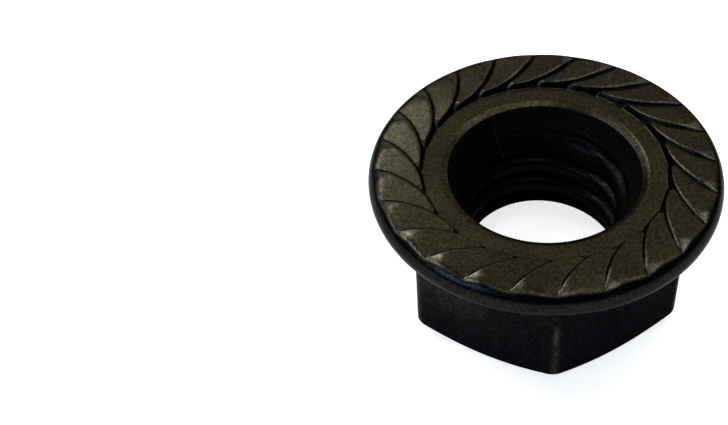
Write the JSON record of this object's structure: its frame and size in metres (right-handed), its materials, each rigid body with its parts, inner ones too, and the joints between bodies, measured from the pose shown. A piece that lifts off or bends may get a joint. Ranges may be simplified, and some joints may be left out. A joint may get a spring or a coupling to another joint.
{
  "type": "serrated flange nut",
  "caption": "Hexagon flange nut with ratchet serrations round its bearing face, threaded right through, in dark oxide finish.",
  "frame": {"origin": "centre of the flat end face of the hexagon, on the thread axis", "axes": "+Z along the thread axis toward the serrated bearing face; two of the wrench flats face +X and -X"},
  "size_m": [0.019, 0.019, 0.0089],
  "materials": {
    "black_oxide_steel": "semi-gloss black oxide"
  },
  "bodies": {
    "root": {"nut": "black_oxide_steel"}
  },
  "joints": []
}
